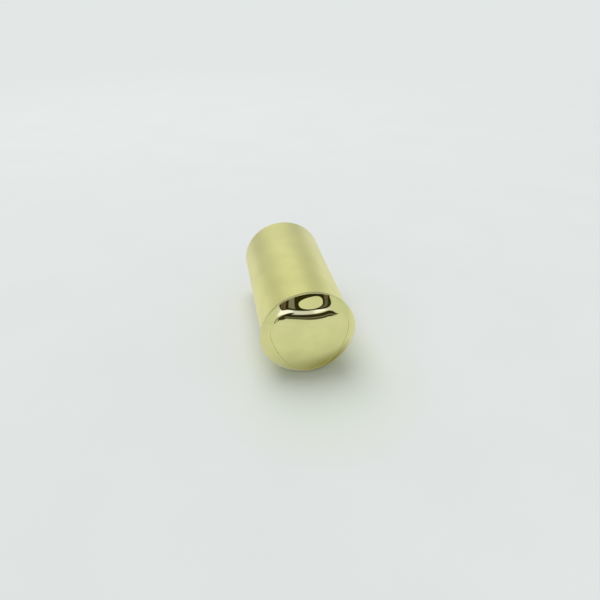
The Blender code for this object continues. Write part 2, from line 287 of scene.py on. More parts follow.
# %% [markdown]
# ## The room
#
# A mirror has no colour of its own to show, so the room is half of a polished finish. Round the table
# stands a bright tent. Its opening, behind and above the camera, is dark, with a round lamp, warm posts
# and grey panes in it. Cool daylight comes in under the opening, and the far edge of the bench draws a
# dark double line along the horizon. All of that is in front. Behind the case the tent is plain apart
# from two soft folds that run away from it, and they give a satin barrel its long bands. Only mirror
# rays see any of this: the camera and matt surfaces see an even pale room.
#
# A direction is given in degrees: its turn (0 towards the front, more to the right), its rise above the
# horizon, and its side (the angle round the case's own axis, 0 overhead, more to the right).

# %% Tones of the room
ROOM_COLOUR = (0.525, 0.53, 0.53)
TENT_COLOUR = (0.93, 0.93, 0.93)
WALL_COLOUR = (0.77, 0.815, 0.75)
FLOOR_COLOUR = (0.83, 0.85, 0.83)
LAMP_COLOUR = (0.875, 0.88, 0.81)
DARK_COLOUR = (0.032, 0.029, 0.007)
WARM_COLOUR = (0.185, 0.125, 0.100)
GREY_COLOUR = (0.275, 0.26, 0.265)
DAYLIGHT_DIM = (0.86, 0.88, 1.20)
DAYLIGHT_COLOUR = (1.36, 1.34, 1.95)


def between(graph, value, start, end, soft):
    """One where the value lies between start and end, with soft edges, and zero outside."""
    return graph.fade(value, start - soft, start + soft) * graph.fade(value, end + soft, end - soft)


print("room tones set")

# %% [markdown]
# ### The lamp and the opening round it
#
# The lamp is a round soft box. Its outline is a formula, across squared plus height cubed, which is
# nearly an ellipse but flatter on top. The opening round it has a sill that rises to both sides. Two
# leaning scales, one for each side, carry its posts and panes. In the values below, a pair of numbers
# says where a soft step starts and where it ends, in degrees.

# %% Lamp and opening
LAMP_PLACE = (14.0, 29.6)
LAMP_SIZE = (20.4, 15.4)
LAMP_FLARE = 0.6
LAMP_LEAN = 0.12
LAMP_EDGE = (1.06, 0.94)
OPENING_LEFT, OPENING_RIGHT, OPENING_SOFT = -58.5, 47.5, 1.5
SILL, SILL_SOFT = 10.3, 1.0
SILL_RISES = ((10.0, -32.0, 16.6), (-38.0, -62.0, 6.0), (24.0, 60.0, 17.0))
LEFT_LEAN, LEFT_LEAN_LEVEL = -0.67, 32.0
RIGHT_LEAN, RIGHT_LEAN_LEVEL = 1.0, 21.7
LEFT_POSTS, LEFT_POST_SOFT = ((-51.5, -45.6), (-43.6, -36.0)), 0.8
LEFT_POST_FOOT = (1.5, 3.5)
RIGHT_POST, RIGHT_SOFT = (30.0, 42.0), 2.0
RIGHT_POST_ABOVE = (31.0, 35.0)
PANE_LEFT, PANE_RIGHT, PANE_LEAN = (-29.5, -26.5), (0.5, -2.5), 0.45
RIGHT_PANE, RIGHT_PANE_BELOW, RIGHT_PANE_SHARE = (26.0, 38.5), (34.0, 31.0), 0.5
PANE_FOOT = (3.0, 5.5)
PANE_OFF_LAMP = (1.35, 1.7)


def from_lamp(turn, rise):
    """Zero at the lamp's centre and one on its edge. It widens upwards and its top is rather flat."""
    high = rise - LAMP_PLACE[1]
    tall = high.absolute() / LAMP_SIZE[1]
    across = (turn - LAMP_PLACE[0] - high * LAMP_LEAN) / (high * LAMP_FLARE + LAMP_SIZE[0])
    return across * across + tall * tall * tall


def posts_in_opening(graph, left, right, rise, above):
    """Two posts on the left that stand on the sill, and the upper part of one on the right."""
    first, second = [between(graph, left, *post, LEFT_POST_SOFT) for post in LEFT_POSTS]
    upper = between(graph, right, *RIGHT_POST, RIGHT_SOFT) * graph.fade(rise, *RIGHT_POST_ABOVE)
    return (first + second) * graph.fade(above, *LEFT_POST_FOOT) + upper


def panes_in_opening(graph, turn, left, right, rise, above, lamp):
    """A grey pane left of the lamp and a fainter one right of it, both clear of the lamp and the sill."""
    main = graph.fade(left, *PANE_LEFT) * graph.fade(turn + rise * PANE_LEAN, *PANE_RIGHT)
    faint = between(graph, right, *RIGHT_PANE, RIGHT_SOFT) * graph.fade(rise, *RIGHT_PANE_BELOW)
    panes = main + faint * RIGHT_PANE_SHARE
    return panes * graph.fade(above, *PANE_FOOT) * graph.fade(lamp, *PANE_OFF_LAMP)


def opening(graph, turn, rise, lamp):
    """The dark opening with its posts and panes, and how far it covers the tent."""
    sill = SILL
    for start, end, height in SILL_RISES:
        sill = graph.fade(turn, start, end, 0.0, height) + sill
    above = rise - sill
    left = turn - (rise - LEFT_LEAN_LEVEL) * LEFT_LEAN
    right = turn - (rise - RIGHT_LEAN_LEVEL) * RIGHT_LEAN
    inside = graph.blend(posts_in_opening(graph, left, right, rise, above), DARK_COLOUR, WARM_COLOUR)
    inside = graph.blend(panes_in_opening(graph, turn, left, right, rise, above, lamp), inside, GREY_COLOUR)
    covers = (graph.fade(above, -SILL_SOFT, SILL_SOFT)
              * graph.fade(turn, OPENING_LEFT - OPENING_SOFT, OPENING_LEFT + OPENING_SOFT)
              * graph.fade(right, OPENING_RIGHT + OPENING_SOFT, OPENING_RIGHT - OPENING_SOFT))
    return inside, covers


print(f"lamp {2 * LAMP_SIZE[0]:.0f} degrees wide, opening from {OPENING_LEFT} to {OPENING_RIGHT}")

# %% [markdown]
# ### The bench's far edge
#
# Along the horizon the bench ends in a dark edge with a grey core. It could be a strip of geometry, but
# only the mirror sees it, and a formula of turn and rise bends it more easily. It sinks towards the
# right, where it runs to a point, and ends on the left in a dark brown corner.

# %% Bench edge
LINE_LEVEL = -1.8
LINE_DROPS = ((-10.0, 30.0, -2.6), (30.0, 44.0, -5.0))
LINE_WIDENS = (-10.0, 15.0, 2.6, 3.3)
LINE_NARROWS = (32.0, 44.0, 0.0, 3.3)
LINE_ENDS, LINE_END_SOFT = (-24.0, 43.0), 1.0
LINE_SOFT = 0.5
CORE_LOWER = 0.9
CORE_HALF, CORE_SOFT = 0.7, 0.4
CORE_SHARE = 0.75
CORNER_PLACE = (-27.0, 3.0)
CORNER_SIZE = (17.4, 11.0)
CORNER_LEAN = 0.2
CORNER_EDGE = (1.12, 0.88)
CORNER_FROM = (-18.0, -22.0)
BROWN_FROM, BROWN_INSIDE = (-22.0, -32.0), (0.9, 0.5)
BROWN_SHARE = 0.7


def bench_edge(graph, turn, rise):
    """The bench's far edge: its colour, a grey core between two dark edges, and how far it covers."""
    level = LINE_LEVEL
    for start, end, drop in LINE_DROPS:
        level = graph.fade(turn, start, end, 0.0, drop) + level
    half = graph.fade(turn, *LINE_WIDENS) - graph.fade(turn, *LINE_NARROWS)
    above = rise - level
    line = graph.fade(above.absolute() - half, LINE_SOFT, -LINE_SOFT)
    line = line * between(graph, turn, *LINE_ENDS, LINE_END_SOFT)
    core = graph.fade((above + CORE_LOWER).absolute(), CORE_HALF + CORE_SOFT, CORE_HALF - CORE_SOFT,
                      0.0, CORE_SHARE)
    colour = graph.blend(core, DARK_COLOUR, GREY_COLOUR)
    beside = turn - CORNER_PLACE[0]
    high = (rise - CORNER_PLACE[1] - beside * CORNER_LEAN) / CORNER_SIZE[1]
    beside = beside / CORNER_SIZE[0]
    around = beside * beside + high * high
    corner = graph.fade(around, *CORNER_EDGE)
    brown = graph.fade(turn, *BROWN_FROM) * graph.fade(around, *BROWN_INSIDE)
    corner_colour = graph.blend(brown * BROWN_SHARE, DARK_COLOUR, WARM_COLOUR)
    colour = graph.blend(corner * graph.fade(turn, *CORNER_FROM), colour, corner_colour)
    return colour, line.math("MAXIMUM", line, corner)


print(f"bench edge from {LINE_ENDS[0]} to {LINE_ENDS[1]} degrees")

# %% [markdown]
# ### Both halves of the room
#
# The front half lays floor, wall, daylight, opening, lamp and bench edge over one another, from the
# farthest to the nearest. The back half is the tent and its two folds. The direction of a ray says which
# half it sees, and its light path says whether it is a mirror ray, the camera's own, or neither.

# %% Front and back
FLOOR_TO_WALL = (-12.0, -3.0)
DAYLIGHT_FOOT = (-30.0, -12.0, 15.0, 0.0)
DAYLIGHT_FOOT_SOFT = 1.0
DAYLIGHT_ENDS, DAYLIGHT_SOFT = (-52.0, 36.0), 5.0
BRIGHT_LEFT, BRIGHT_LEFT_SOFT = (-47.0, -14.0), 3.5
BRIGHT_RIGHT, BRIGHT_RIGHT_SOFT = (14.0, 29.0), 4.0
FOLDS = ((-75.0, 27.0, 0.27), (52.0, 25.0, 0.29))
FOLD_SOFT = 0.9
FAN_NEAR, FAN_FAR = (0.72, 0.65), (0.97, 1.35)
BEHIND = (0.0, 0.25)
DEGREES = 180.0 / math.pi


def front_of_room(graph, turn, rise):
    """The tent with its opening, the daylight under it, the lamp, and the bench's far edge."""
    foot_of_light = graph.fade(turn, *DAYLIGHT_FOOT)
    strip = graph.fade(rise - foot_of_light, -DAYLIGHT_FOOT_SOFT, DAYLIGHT_FOOT_SOFT)
    strip = strip * between(graph, turn, *DAYLIGHT_ENDS, DAYLIGHT_SOFT)
    bright = (between(graph, turn, *BRIGHT_LEFT, BRIGHT_LEFT_SOFT)
              + between(graph, turn, *BRIGHT_RIGHT, BRIGHT_RIGHT_SOFT))
    daylight = graph.blend(bright, DAYLIGHT_DIM, DAYLIGHT_COLOUR)
    seen = graph.blend(graph.fade(rise, *FLOOR_TO_WALL), FLOOR_COLOUR, WALL_COLOUR)
    seen = graph.blend(strip, seen, daylight)
    lamp = from_lamp(turn, rise)
    inside, covers = opening(graph, turn, rise, lamp)
    seen = graph.blend(covers, seen, inside)
    seen = graph.blend(graph.fade(lamp, *LAMP_EDGE), seen, LAMP_COLOUR)
    edge, line = bench_edge(graph, turn, rise)
    return graph.blend(line, seen, edge)


def back_of_room(graph, side, north):
    """The plain tent with its two soft folds, which fan out as they run away."""
    seen = TENT_COLOUR
    side = side / graph.fade(north, FAN_NEAR[0], FAN_FAR[0], FAN_NEAR[1], FAN_FAR[1])
    for middle, half, depth in FOLDS:
        fold = between(graph, side, middle - half, middle + half, half * FOLD_SOFT)
        seen = graph.blend(fold, seen, tuple(value * (1 - depth) for value in TENT_COLOUR))
    return seen


def room():
    world = bpy.data.worlds.new("room")
    world.use_nodes = True
    graph = Graph(world.node_tree)
    view = graph.node("ShaderNodeTexCoord", output="Generated")
    east, north, up = [graph.node("ShaderNodeSeparateXYZ", None, {0: view}, output=axis) for axis in "XYZ"]
    rise = up.math("ARCSINE", up) * DEGREES
    turn = east.math("ARCTAN2", east, north * -1.0) * DEGREES
    side = east.math("ARCTAN2", east, up) * DEGREES
    seen = graph.blend(graph.fade(north, *BEHIND), front_of_room(graph, turn, rise),
                       back_of_room(graph, side, north))
    mirror = graph.node("ShaderNodeLightPath", output="Is Glossy Ray")
    camera_sees = graph.node("ShaderNodeLightPath", output="Is Camera Ray")
    plain = graph.blend(camera_sees, ROOM_COLOUR, BACKDROP_COLOUR)
    light = graph.node("ShaderNodeBackground", None,
                       {"Color": graph.blend(mirror, plain, seen), "Strength": 1.0})
    graph.node("ShaderNodeOutputWorld", None, {"Surface": light})
    return world


bpy.context.scene.world = room()
bpy.context.scene.view_settings.view_transform = "Standard"
print("room built")

# %% [markdown]
# ## Lamps
#
# The shadow is short and soft and lies in front of the foot, a little to the right, so the key light is
# a wide panel high behind the case. It is kept out of mirror rays, because the room above already says
# what the metal shows.

# %% Lamps
KEY_PLACE = (-0.12, 0.27, 0.86)
KEY_SIZE = 0.85
KEY_WATTS = 5.2

key_data = bpy.data.lights.new("key_panel", "AREA")
key_data.shape = "DISK"
key_data.size = KEY_SIZE
key_data.energy = KEY_WATTS
key_panel = bpy.data.objects.new("key_panel", key_data)
bpy.context.scene.collection.objects.link(key_panel)
aim_at_foot = (Vector(KEY_PLACE) - rim_centre).to_track_quat("Z", "Y")
key_panel.matrix_world = Matrix.Translation(KEY_PLACE) @ aim_at_foot.to_matrix().to_4x4()
key_panel.visible_glossy = False
print(f"key light {(Vector(KEY_PLACE) - rim_centre).length:.2f} m from the foot")

# %% [markdown]
# ## Turning a piece
#
# `turned` takes half a section as corners of (radius, height) or (radius, height, rounding). It spins
# them into a closed body, and then bevels the ring of edges at each corner that asks for rounding. The
# bevel comes after the spin because it then works the same on an inside corner as on an outside one.
# Long straight sides get a few extra rings, so smooth shading doesn't smear a round edge over the side.
# Where a rounding reaches such a ring, the bevel stops against it and leaves slivers with no area, so
# points that lie on top of one another are merged at the end.

# %% Turning helpers
SIDES = 180
LONG_SIDE = 3.0
GUARD = 0.5
MERGE = 0.0005
SLIVER = 0.002
ROUND_STEPS = 4
SMOOTH_BELOW = math.radians(35.0)
AXIS = Vector((0.0, 0.0, 1.0))
ORIGIN = Vector((0.0, 0.0, 0.0))


def with_guards(corners, closed):
    """The corners as (point, number), with an unnumbered point near each end of a long side."""
    points = []
    following = corners[1:] + corners[:1] if closed else corners[1:]
    for number, (corner, after) in enumerate(zip(corners, following), start=1):
        start, end = Vector(corner[:2]), Vector(after[:2])
        points.append((start, number))
        if (end - start).length > LONG_SIDE:
            inset = (end - start).normalized() * GUARD
            points += [(start + inset, 0), (end - inset, 0)]
    if not closed:
        points.append((Vector(corners[-1][:2]), len(corners)))
    return points


def spun(corners):
    """Spin the corners into a closed body. Each ring of points keeps its corner's number."""
    closed = corners[0][0] > 0.0
    bm = bmesh.new()
    number_layer = bm.verts.layers.int.new("corner")
    outline = []
    for point, number in with_guards(corners, closed):
        vert = bm.verts.new((point.x, 0.0, point.y))
        vert[number_layer] = number
        outline.append(vert)
    edges = [bm.edges.new(pair) for pair in zip(outline, outline[1:])]
    if closed:
        edges.append(bm.edges.new((outline[-1], outline[0])))
    bmesh.ops.spin(bm, geom=outline + edges, cent=ORIGIN, axis=AXIS, angle=math.tau, steps=SIDES,
                   use_merge=True)
    bmesh.ops.remove_doubles(bm, verts=bm.verts, dist=MERGE)
    on_axis = [edge for edge in bm.edges if not edge.link_faces]
    bmesh.ops.delete(bm, geom=on_axis, context="EDGES")
    bmesh.ops.recalc_face_normals(bm, faces=bm.faces)
    return bm


def soften(bm, edges, rounding, steps):
    """Bevel edges to a round of the given size."""
    bmesh.ops.bevel(bm, geom=edges, offset=rounding, offset_type="OFFSET", segments=steps, profile=0.5,
                    affect="EDGES", material=-1, clamp_overlap=True)


def rounded(bm, corners):
    """Soften the ring of edges at each corner that states a rounding."""
    number_layer = bm.verts.layers.int["corner"]
    for number, corner in enumerate(corners, start=1):
        if len(corner) == 3:
            ring = [edge for edge in bm.edges
                    if all(vert[number_layer] == number for vert in edge.verts)]
            soften(bm, ring, corner[2], ROUND_STEPS)
    return bm


def turned(corners):
    """A closed turned body in upright millimetres, from corners of (radius, height, rounding)."""
    return rounded(spun(corners), corners)


def finished(name, bm, material, body, node):
    """Lay the mesh on the table, shade it, give it its body and material, and hide the node it replaces."""
    bmesh.ops.remove_doubles(bm, verts=bm.verts, dist=SLIVER)
    bmesh.ops.recalc_face_normals(bm, faces=bm.faces)
    bmesh.ops.transform(bm, matrix=LAY_DOWN, verts=bm.verts)
    mesh = bpy.data.meshes.new(name)
    bm.to_mesh(mesh)
    bm.free()
    mesh.shade_smooth()
    mesh.set_sharp_from_angle(angle=SMOOTH_BELOW)
    mesh.materials.append(material)
    piece = bpy.data.objects.new(name, mesh)
    bpy.context.scene.collection.objects.link(piece)
    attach(piece, body)
    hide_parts(node)
    print(f"{name}: {len(mesh.polygons)} faces")


print(f"a turned piece has {SIDES} sides")

# %% [markdown]
# ## Metal finishes
#
# All the gold here is the same pale champagne plating. What differs is the surface under it. The foot is
# polished until it mirrors, the cap is satin, and the collar is bright but not quite a mirror. So one
# function mixes the colour and the roughness from a soft cloud and a fine grain, and each finish only
# says how rough it is, and which way its grain runs.

# %% Metal finishes
POLISHED_GOLD = (0.720, 0.710, 0.340)
SATIN_GOLD = (0.745, 0.735, 0.295)
PLAIN_STEEL = (0.56, 0.57, 0.58)
# Painted shade: a dark band on the back of the foot's rim stands for the shadow in the gap where it meets
# the cap.
SEAM_SHADE_COLOUR = (0.16, 0.13, 0.05)
SEAM_SHADE_SOFT = 0.05 * MM
FOOT_SEAM_SHADE = (foot_low.y + 3.66 * MM, foot_low.y + 3.88 * MM)
METAL_CLOUD, METAL_CLOUD_DETAIL = 180.0, 3.0
METAL_CLOUD_RANGE = (0.35, 0.65)
METAL_DEEP = 0.94
GRAIN_DETAIL = 2.0


def metal(name, colour, rough, spread, grain, depth, seam_shade=None):
    """A metal: rough is its mean roughness, spread how much that wanders, and grain how fine its grain is
    along each axis. Depth is the grain's height in metres. A dark band of painted shade can be laid between
    (start, end) along the case's axis; it stands for the shadow in the gap where the foot meets the cap."""
    material = bpy.data.materials.new(name)
    material.use_nodes = True
    graph = Graph(material.node_tree)
    place = graph.object_place()
    cloud = graph.cloud(place, METAL_CLOUD, METAL_CLOUD_DETAIL)
    stretched = graph.node("ShaderNodeMapping", None, {"Vector": place, "Scale": grain})
    fine = graph.cloud(stretched, 1.0, GRAIN_DETAIL)
    deep = tuple(value * METAL_DEEP for value in colour)
    tint = graph.blend(graph.fade(cloud, *METAL_CLOUD_RANGE), deep, colour)
    # Painted shade: a dark band in the plating's colour stands for the shadow in the joint's gap.
    if seam_shade:
        start, end = seam_shade
        along = graph.node("ShaderNodeSeparateXYZ", None, {0: place}, output="Y")
        line = graph.fade(along, start, start + SEAM_SHADE_SOFT) * graph.fade(along, end, end - SEAM_SHADE_SOFT)
        tint = graph.blend(line, tint, SEAM_SHADE_COLOUR)
    roughness = rough + (cloud - 0.5) * spread + (fine - 0.5) * spread
    bump = graph.node("ShaderNodeBump", None, {"Height": fine, "Strength": 1.0, "Distance": depth})
    shader = graph.node("ShaderNodeBsdfPrincipled", None,
                        {"Base Color": tint, "Roughness": roughness, "Metallic": 1.0, "Normal": bump})
    graph.node("ShaderNodeOutputMaterial", None, {"Surface": shader})
    return material


polished = metal("polished_gold", POLISHED_GOLD, rough=0.035, spread=0.02,
                 grain=(900.0, 900.0, 900.0), depth=0.0, seam_shade=FOOT_SEAM_SHADE)
satin = metal("satin_gold", SATIN_GOLD, rough=0.34, spread=0.05,
              grain=(9000.0, 300.0, 9000.0), depth=0.000002)
bright = metal("bright_gold", POLISHED_GOLD, rough=0.10, spread=0.04,
               grain=(6000.0, 500.0, 6000.0), depth=0.0000005)
cup_gold = metal("cup_gold", SATIN_GOLD, rough=0.20, spread=0.05,
                 grain=(6000.0, 400.0, 6000.0), depth=0.000001)
steel = metal("plain_steel", PLAIN_STEEL, rough=0.38, spread=0.15,
              grain=(1200.0, 1200.0, 1200.0), depth=0.000004)
print("metals mixed")

# %% [markdown]
# ## Plastics and rubber
#
# The hidden parts are moulded. Moulded plastic has a faint pebble from the mould and a roughness that
# wanders a little, and rubber is the same with a coarser pebble and no shine.

# %% Plastics and rubber
PLASTIC_CLOUD, PLASTIC_CLOUD_DETAIL = 150.0, 3.0
PLASTIC_CLOUD_RANGE = (0.3, 0.7)
PLASTIC_SHADE = 0.93
PLASTIC_SPREAD = 0.15
PEBBLE_DETAIL = 2.0


def moulded(name, colour, rough, pebble, depth):
    """A moulded skin: pebble is how fine its pebble is, and depth the pebble's height in metres."""
    material = bpy.data.materials.new(name)
    material.use_nodes = True
    graph = Graph(material.node_tree)
    place = graph.object_place()
    cloud = graph.cloud(place, PLASTIC_CLOUD, PLASTIC_CLOUD_DETAIL)
    skin = graph.cloud(place, pebble, PEBBLE_DETAIL)
    shade = tuple(value * PLASTIC_SHADE for value in colour)
    tint = graph.blend(graph.fade(cloud, *PLASTIC_CLOUD_RANGE), shade, colour)
    roughness = rough + (skin - 0.5) * PLASTIC_SPREAD
    bump = graph.node("ShaderNodeBump", None, {"Height": skin, "Strength": 1.0, "Distance": depth})
    shader = graph.node("ShaderNodeBsdfPrincipled", None,
                        {"Base Color": tint, "Roughness": roughness, "Normal": bump})
    graph.node("ShaderNodeOutputMaterial", None, {"Surface": shader})
    return material


white_plastic = moulded("white_plastic", (0.80, 0.80, 0.77), rough=0.42, pebble=5000.0, depth=0.00001)
grey_plastic = moulded("grey_plastic", (0.60, 0.61, 0.62), rough=0.30, pebble=5000.0, depth=0.000005)
rubber = moulded("black_rubber", (0.03, 0.03, 0.03), rough=0.75, pebble=9000.0, depth=0.00002)
print("plastics mixed")

# %% [markdown]
# ## Polished foot
#
# The foot is the piece that needs the most care, because a mirror shows every dent. Its end has two
# zones. A crowned panel with three bowed sides and soft corners sits in the middle, and a band swells
# from the panel's crease out to the round rim. A spin can't make three sides, so the end starts as a
# flat disc of rings. Each point then moves: rings inside the crease shrink to the three-sided outline,
# and rings outside it spread from there to the rim. A fine line is cut along the crease itself, and it
# fades out along the crease's upper side.

# %% Shape of the foot's end
STANDING_RADIUS = 2.2
CROWN_RADIUS = 21.5
PANEL_SIDES = 3
PANEL_SIDE = 7.8
PANEL_CORNER = 9.45
PANEL_BOW = 0.06
BAND_SWELL = 0.4
GROOVE_DEPTH = 0.10
GROOVE_HALF = 0.018
GROOVE_FADE, GROOVE_REACH = 2.0, 1.4
PANEL_RINGS = 28
BAND_RINGS = 20


def crease_radius(angle):
    """Distance from the axis to the panel's edge."""
    lobes = PANEL_SIDES * (angle + math.pi / 2)
    middle = (PANEL_SIDE + PANEL_CORNER) / 2
    swing = (PANEL_CORNER - PANEL_SIDE) / 2
    return middle - swing * math.cos(lobes) - PANEL_BOW * (1 - math.cos(2 * lobes))


def crown_height(radius):
    return max(0.0, radius ** 2 - STANDING_RADIUS ** 2) / (2 * CROWN_RADIUS)


def foot_point(share, angle):
    """Point on the foot's end. The share is 0 on the axis, 1 on the crease and 2 on the rim."""
    crease = crease_radius(angle)
    if share <= 1.0:
        radius = share * crease
        height = crown_height(radius)
    else:
        across = share - 1.0
        radius = crease + across * (FOOT_RADIUS - crease)
        drop = FOOT_RIM - crown_height(crease)
        height = FOOT_RIM - drop * (1 - across) * (1 + BAND_SWELL * across)
    groove = GROOVE_DEPTH * max(0.0, 1 - abs(share - 1.0) / GROOVE_HALF)
    groove *= min(1.0, max(0.0, GROOVE_FADE * math.sin(angle) + GROOVE_REACH))
    return Vector((radius * math.cos(angle), radius * math.sin(angle), height + groove))


print(f"panel's crease {PANEL_SIDE} to {PANEL_CORNER} mm from the axis")

# %% [markdown]
# ### From a disc to the foot
#
# The rest of the foot is plain turned work: a rim with a small round, a flat shoulder behind it, and an
# upstand with a socket for the core. It is spun together with the disc, so the whole foot is one closed
# body. The rim is bevelled last, when its ring is in its final place.

# %% Model the foot
AT_RIM = 0.001
RIM_ROUND = 0.20
RIM_BACK_ROUND = 0.10
FOOT_SHOULDER = 3.90
UPSTAND_RADIUS = 8.13
UPSTAND_TOP = span("base_foot")[1]
SOCKET_RADIUS = 7.7
SOCKET_FLOOR = 2.6


def foot_end():
    """Rings from the axis to the rim, with a close pair on each side of the crease."""
    shares = [step / PANEL_RINGS for step in range(1, PANEL_RINGS)]
    shares += [1 - GROOVE_HALF, 1.0, 1 + GROOVE_HALF]
    shares += [1 + step / BAND_RINGS for step in range(1, BAND_RINGS + 1)]
    return shares


def foot():
    """Spin the end as a flat disc at the rim's height, then move its rings to the panel and the band."""
    corners = [(0.0, FOOT_RIM)] + [(FOOT_RADIUS * share / 2, FOOT_RIM) for share in foot_end()]
    corners[-1] += (RIM_ROUND,)
    corners += [
        (FOOT_RADIUS, FOOT_SHOULDER, RIM_BACK_ROUND),
        (UPSTAND_RADIUS, FOOT_SHOULDER, 0.1),
        (UPSTAND_RADIUS, UPSTAND_TOP, 0.15),
        (SOCKET_RADIUS, UPSTAND_TOP),
        (SOCKET_RADIUS, SOCKET_FLOOR),
        (0.0, SOCKET_FLOOR),
    ]
    bm = spun(corners)
    for vert in bm.verts:
        if abs(vert.co.z - FOOT_RIM) < AT_RIM:
            share = 2 * math.hypot(vert.co.x, vert.co.y) / FOOT_RADIUS
            vert.co = foot_point(share, math.atan2(vert.co.y, vert.co.x))
    return rounded(bm, corners)


finished("foot", foot(), polished, "base", "base_foot")

# %% [markdown]
# ## Satin cap
#
# The cap is a deep-drawn cup of thin metal: one straight wall, a small curl at the open mouth and a
# tighter round at the closed end. It is one turned section with its inside, so it looks right when it
# is pulled off.

# %% Cap
CAP_WALL = 0.6
CAP_MOUTH, CAP_END, CAP_RADIUS = span("cap_shell")

finished("cap", turned([
    (CAP_RADIUS - CAP_WALL, CAP_MOUTH, 0.1),
    (CAP_RADIUS, CAP_MOUTH, 0.06),
    (CAP_RADIUS, CAP_END, 0.5),
    (0.0, CAP_END),
    (0.0, CAP_END - CAP_WALL),
    (CAP_RADIUS - CAP_WALL, CAP_END - CAP_WALL, 0.3),
]), satin, "cap", "cap_shell")

# %% [markdown]
# ## Inner cap
#
# Inside the metal cap sits a moulded plastic one, and it does the gripping: six low ribs near its mouth
# press on the gold neck. Ribs could be small blocks pushed into the wall, but here narrow strips of the
# wall itself are picked by angle and height and extruded inwards, so wall and ribs stay one skin.

# %% Ribs on an inner wall
COLUMN = math.tau / SIDES
ON_WALL = 0.03


def raise_ribs(bm, count, first, low, high, radius, by):
    """Push strips two columns wide inwards from the inner wall. The first rib is at the given angle."""
    pitch = math.tau / count
    strips = []
    for face in bm.faces:
        centre = face.calc_center_median()
        away = (math.atan2(centre.y, centre.x) - first + pitch / 2) % pitch - pitch / 2
        if (abs(away) < COLUMN and low < centre.z < high
                and abs(math.hypot(centre.x, centre.y) - radius) < ON_WALL):
            strips.append(face)
    raised = bmesh.ops.extrude_face_region(bm, geom=strips)["geom"]
    bmesh.ops.delete(bm, geom=strips, context="FACES")
    share = (radius - by) / radius
    bmesh.ops.scale(bm, vec=(share, share, 1.0),
                    verts=[item for item in raised if isinstance(item, bmesh.types.BMVert)])


print(f"a rib is {2 * math.degrees(COLUMN):.0f} degrees wide")

# %% Inner cap
LINER_WALL = 0.7
LINER_ROOF = 0.9
LINER_MOUTH, LINER_TOP, LINER_RADIUS = span("cap_liner")
GRIP_RIBS = 6
GRIP_HEIGHT = 0.12
GRIP_LOW, GRIP_HIGH = LINER_MOUTH + 1.0, LINER_MOUTH + 6.0
liner_bore = LINER_RADIUS - LINER_WALL

liner = turned([
    (liner_bore, LINER_MOUTH, 0.15),
    (LINER_RADIUS, LINER_MOUTH, 0.15),
    (LINER_RADIUS, LINER_TOP, 0.4),
    (0.0, LINER_TOP),
    (0.0, LINER_TOP - LINER_ROOF),
    (liner_bore, LINER_TOP - LINER_ROOF, 0.3),
    (liner_bore, GRIP_HIGH),
    (liner_bore, GRIP_LOW),
])
raise_ribs(liner, GRIP_RIBS, 0.0, GRIP_LOW, GRIP_HIGH, liner_bore, GRIP_HEIGHT)
finished("inner_cap", liner, white_plastic, "cap", "cap_liner")

# %% [markdown]
# ## Weights
#
# An empty case would feel light and cheap, so there is a steel disc in the cap's end and a steel washer
# under the core. They are plain punched pieces, and a slightly broken edge is all they need.

# %% Weights
EDGE_BREAK = 0.12
DISC_LOW, DISC_HIGH, DISC_RADIUS = span("cap_weight")
WASHER_LOW, WASHER_HIGH, WASHER_RADIUS = span("base_weight")
WASHER_HOLE = 1.2

finished("cap_disc", turned([
    (0.0, DISC_LOW),
    (DISC_RADIUS, DISC_LOW, EDGE_BREAK),
    (DISC_RADIUS, DISC_HIGH, EDGE_BREAK),
    (0.0, DISC_HIGH),
]), steel, "cap", "cap_weight")
finished("foot_washer", turned([
    (WASHER_HOLE, WASHER_LOW, EDGE_BREAK),
    (WASHER_RADIUS, WASHER_LOW, EDGE_BREAK),
    (WASHER_RADIUS, WASHER_HIGH, EDGE_BREAK),
    (WASHER_HOLE, WASHER_HIGH, EDGE_BREAK),
]), steel, "base", "base_weight")

# %% [markdown]
# ## Core
#
# The core is the moulded plug that holds everything in the foot. Its skirt fills the foot's socket, a
# web closes it in the middle, and its upper cup carries the guide tube. A vent goes through the web, so
# no air is trapped when the core is pushed in.

# %% Core
CORE_BOTTOM, CORE_TOP, CORE_RADIUS = span("base_core")
NECK_BOTTOM, NECK_TOP, NECK_RADIUS = span("neck_shell")
CORE_PLUG_RADIUS = 7.55
CORE_POCKET_RADIUS = 6.6
CORE_POCKET_TOP = 5.6
CORE_WEB_TOP = 6.8
CORE_VENT_RADIUS = 1.5
CORE_SEAT = UPSTAND_TOP + 0.3
guide_socket = span("guide_tube")[2] + 0.15

finished("core", turned([
    (CORE_POCKET_RADIUS, CORE_BOTTOM),
    (CORE_PLUG_RADIUS, CORE_BOTTOM, 0.2),
    (CORE_PLUG_RADIUS, CORE_SEAT, 0.1),
    (CORE_RADIUS, CORE_SEAT, 0.1),
    (CORE_RADIUS, CORE_TOP, 0.2),
    (guide_socket, CORE_TOP, 0.2),
    (guide_socket, CORE_WEB_TOP, 0.15),
    (CORE_VENT_RADIUS, CORE_WEB_TOP, 0.1),
    (CORE_VENT_RADIUS, CORE_POCKET_TOP, 0.1),
    (CORE_POCKET_RADIUS, CORE_POCKET_TOP, 0.15),
]), white_plastic, "base", "base_core")

# %% [markdown]
# ## Neck and collar
#
# Both are thin gold sleeves of the same diameter, one above the other. The neck stays with the foot and
# the cap's ribs grip it. The collar is what the fingers turn. Each has its upper edge rolled inwards,
# which hides the raw edge of the sheet, and the collar's roll is the rounder one because it shows.

# %% Neck and collar
SLEEVE_WALL = 0.4
NECK_LIP_RADIUS = 7.5
NECK_LIP = 0.3
COLLAR_BOTTOM, COLLAR_TOP, COLLAR_RADIUS = span("collar_shell")
COLLAR_LIP_RADIUS = 6.85
COLLAR_LIP = 0.4

